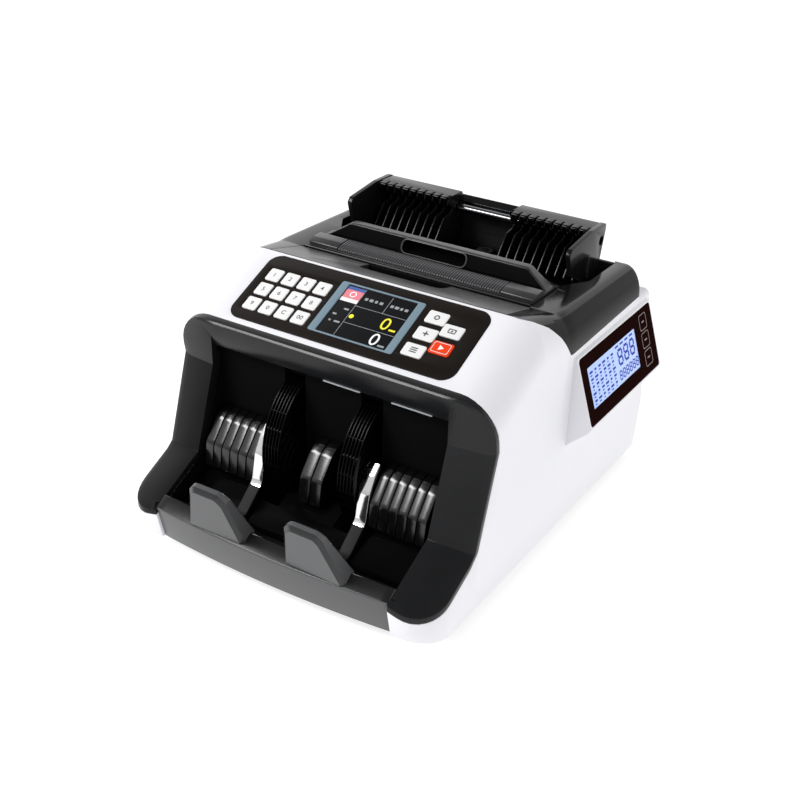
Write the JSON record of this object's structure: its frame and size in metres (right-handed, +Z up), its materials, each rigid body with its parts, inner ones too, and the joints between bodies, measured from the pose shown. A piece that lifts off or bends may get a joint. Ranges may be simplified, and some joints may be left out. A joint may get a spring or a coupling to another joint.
{
  "type": "banknote counter",
  "caption": "Countertop banknote counter and checker with sloped keypad and colour screen, side display, sliding hopper guides, lifting feed flap and fan-wheel stacker.",
  "frame": {"origin": "on the table plane, under the middle of the base, at the centre of the middle foot", "axes": "+X to the operator's right, +Y to the rear, +Z up"},
  "size_m": [0.2679, 0.3382, 0.198],
  "materials": {
    "white_shell": "satin gloss moulded ABS",
    "black_bezel": "satin moulded ABS",
    "gloss_black": "polished black",
    "grey_lip": "satin dark grey",
    "grey_paddle": "satin grey",
    "overlay": "printed brown-black film",
    "frame_blue": "blue-grey",
    "screen": "display glass",
    "lcd": "backlit display",
    "pod_face": "maroon black gloss",
    "key_white": "moulded keys",
    "key_red": "moulded key",
    "rubber": "soft",
    "steel": "plated",
    "motor": "dark painted",
    "nylon": "natural nylon",
    "board": "circuit board",
    "supply": "transformer and board"
  },
  "bodies": {
    "frame": {"base_pan": "black_bezel", "rubber_feet": "rubber", "main_housing": "white_shell", "front_bezel": "black_bezel", "front_lip": "grey_lip", "stop_paddles": "grey_paddle", "stacker_floor": "black_bezel", "stacker_combs": "gloss_black", "stacker_back": "black_bezel", "control_overlay": "overlay", "screen_frame": "frame_blue", "screen_glass": "screen", "keypad_board": "board", "pod_housing": "white_shell", "pod_bezel": "pod_face", "pod_lcd": "lcd", "top_cover": "gloss_black", "strip_cap": "gloss_black", "hopper_back": "black_bezel", "hopper_floor": "black_bezel", "rear_panel": "steel", "power_inlet": "gloss_black", "housing_screws": "steel", "side_plates": "steel", "cross_rods": "steel", "main_motor": "motor", "drive_belts": "rubber", "main_board": "board", "power_supply": "supply", "sensor_bar": "board", "note_chute": "black_bezel"},
    "flap": {"hopper_flap": "gloss_black"},
    "left_guide": {"guide_left": "gloss_black"},
    "right_guide": {"guide_right": "gloss_black"},
    "pinion": {"centering_pinion": "nylon"},
    "stacker_rotor": {"stacker_shaft": "steel", "fan_wheels": "gloss_black"},
    "feed_rotor": {"feed_shaft": "steel", "feed_rollers": "rubber"},
    "pickup_rotor": {"pickup_roller": "rubber"},
    "motor_rotor": {"motor_pulley": "nylon"},
    "knob": {"gap_knob": "black_bezel"},
    "rocker": {"rocker_switch": "gloss_black"},
    "b_key_1": {"key_1": "key_white"},
    "b_key_2": {"key_2": "key_white"},
    "b_key_3": {"key_3": "key_white"},
    "b_key_4": {"key_4": "key_white"},
    "b_key_5": {"key_5": "key_white"},
    "b_key_6": {"key_6": "key_white"},
    "b_key_7": {"key_7": "key_white"},
    "b_key_8": {"key_8": "key_white"},
    "b_key_9": {"key_9": "key_white"},
    "b_key_0": {"key_0": "key_white"},
    "b_key_c": {"key_c": "key_white"},
    "b_key_00": {"key_00": "key_white"},
    "b_key_cf": {"key_cf": "key_white"},
    "b_key_add": {"key_add": "key_white"},
    "b_key_mode": {"key_mode": "key_white"},
    "b_key_cur": {"key_cur": "key_white"},
    "b_key_start": {"key_start": "key_red"}
  },
  "joints": [
    {"name": "flap_hinge", "type": "hinge", "parent": "frame", "child": "flap", "pos_m": [0, 0.048, 0.1665], "axis": [-1, 0, 0], "range_deg": [0, 55]},
    {"name": "left_guide_slide", "type": "slide", "parent": "frame", "child": "left_guide", "axis": [-1, 0, 0], "range_m": [-0.014, 0.01]},
    {"name": "right_guide_slide", "type": "slide", "parent": "frame", "child": "right_guide", "axis": [1, 0, 0], "range_m": [-0.014, 0.01]},
    {"name": "pinion_spin", "type": "hinge", "parent": "frame", "child": "pinion", "pos_m": [0, 0.118, 0.155], "axis": [0, 0, 1], "range_deg": [-89, 124]},
    {"name": "motor_spin", "type": "hinge", "parent": "frame", "child": "motor_rotor", "pos_m": [0.1, 0.075, 0.06], "axis": [1, 0, 0], "continuous": true},
    {"name": "feed_spin", "type": "hinge", "parent": "frame", "child": "feed_rotor", "pos_m": [0, 0.045, 0.138], "axis": [1, 0, 0], "continuous": true},
    {"name": "pickup_spin", "type": "hinge", "parent": "frame", "child": "pickup_rotor", "pos_m": [0, 0.078, 0.149], "axis": [1, 0, 0], "continuous": true},
    {"name": "stacker_spin", "type": "hinge", "parent": "frame", "child": "stacker_rotor", "pos_m": [0, -0.06, 0.072], "axis": [1, 0, 0], "continuous": true},
    {"name": "knob_turn", "type": "hinge", "parent": "frame", "child": "knob", "pos_m": [0, 0.1412, 0.15], "axis": [0, 0, 1], "range_deg": [-150, 150]},
    {"name": "rocker_tilt", "type": "hinge", "parent": "frame", "child": "rocker", "pos_m": [-0.011, 0.146, 0.0345], "axis": [1, 0, 0], "range_deg": [-8, 8]},
    {"name": "key_1_press", "type": "slide", "parent": "frame", "child": "b_key_1", "axis": [0, 0.4163, -0.9092], "range_m": [0, 0.0012], "stiffness_N_per_m": 250, "springref_m": -0.0004},
    {"name": "key_2_press", "type": "slide", "parent": "frame", "child": "b_key_2", "axis": [0, 0.4163, -0.9092], "range_m": [0, 0.0012], "stiffness_N_per_m": 250, "springref_m": -0.0004},
    {"name": "key_3_press", "type": "slide", "parent": "frame", "child": "b_key_3", "axis": [0, 0.4163, -0.9092], "range_m": [0, 0.0012], "stiffness_N_per_m": 250, "springref_m": -0.0004},
    {"name": "key_4_press", "type": "slide", "parent": "frame", "child": "b_key_4", "axis": [0, 0.4163, -0.9092], "range_m": [0, 0.0012], "stiffness_N_per_m": 250, "springref_m": -0.0004},
    {"name": "key_5_press", "type": "slide", "parent": "frame", "child": "b_key_5", "axis": [0, 0.4163, -0.9092], "range_m": [0, 0.0012], "stiffness_N_per_m": 250, "springref_m": -0.0004},
    {"name": "key_6_press", "type": "slide", "parent": "frame", "child": "b_key_6", "axis": [0, 0.4163, -0.9092], "range_m": [0, 0.0012], "stiffness_N_per_m": 250, "springref_m": -0.0004},
    {"name": "key_7_press", "type": "slide", "parent": "frame", "child": "b_key_7", "axis": [0, 0.4163, -0.9092], "range_m": [0, 0.0012], "stiffness_N_per_m": 250, "springref_m": -0.0004},
    {"name": "key_8_press", "type": "slide", "parent": "frame", "child": "b_key_8", "axis": [0, 0.4163, -0.9092], "range_m": [0, 0.0012], "stiffness_N_per_m": 250, "springref_m": -0.0004},
    {"name": "key_9_press", "type": "slide", "parent": "frame", "child": "b_key_9", "axis": [0, 0.4163, -0.9092], "range_m": [0, 0.0012], "stiffness_N_per_m": 250, "springref_m": -0.0004},
    {"name": "key_0_press", "type": "slide", "parent": "frame", "child": "b_key_0", "axis": [0, 0.4163, -0.9092], "range_m": [0, 0.0012], "stiffness_N_per_m": 250, "springref_m": -0.0004},
    {"name": "key_c_press", "type": "slide", "parent": "frame", "child": "b_key_c", "axis": [0, 0.4163, -0.9092], "range_m": [0, 0.0012], "stiffness_N_per_m": 250, "springref_m": -0.0004},
    {"name": "key_00_press", "type": "slide", "parent": "frame", "child": "b_key_00", "axis": [0, 0.4163, -0.9092], "range_m": [0, 0.0012], "stiffness_N_per_m": 250, "springref_m": -0.0004},
    {"name": "key_cf_press", "type": "slide", "parent": "frame", "child": "b_key_cf", "axis": [0, 0.4163, -0.9092], "range_m": [0, 0.0012], "stiffness_N_per_m": 250, "springref_m": -0.0004},
    {"name": "key_add_press", "type": "slide", "parent": "frame", "child": "b_key_add", "axis": [0, 0.4163, -0.9092], "range_m": [0, 0.0012], "stiffness_N_per_m": 250, "springref_m": -0.0004},
    {"name": "key_mode_press", "type": "slide", "parent": "frame", "child": "b_key_mode", "axis": [0, 0.4163, -0.9092], "range_m": [0, 0.0012], "stiffness_N_per_m": 250, "springref_m": -0.0004},
    {"name": "key_cur_press", "type": "slide", "parent": "frame", "child": "b_key_cur", "axis": [0, 0.4163, -0.9092], "range_m": [0, 0.0012], "stiffness_N_per_m": 250, "springref_m": -0.0004},
    {"name": "key_start_press", "type": "slide", "parent": "frame", "child": "b_key_start", "axis": [0, 0.4163, -0.9092], "range_m": [0, 0.0012], "stiffness_N_per_m": 250, "springref_m": -0.0004}
  ],
  "couplings": [
    {"joint": "right_guide_slide", "follows": "left_guide_slide", "ratio": 1},
    {"joint": "pinion_spin", "follows": "left_guide_slide", "rad_per_m": -152.67},
    {"joint": "feed_spin", "follows": "motor_spin", "ratio": 0.75},
    {"joint": "pickup_spin", "follows": "motor_spin", "ratio": 0.9375},
    {"joint": "stacker_spin", "follows": "motor_spin", "ratio": 0.5}
  ]
}
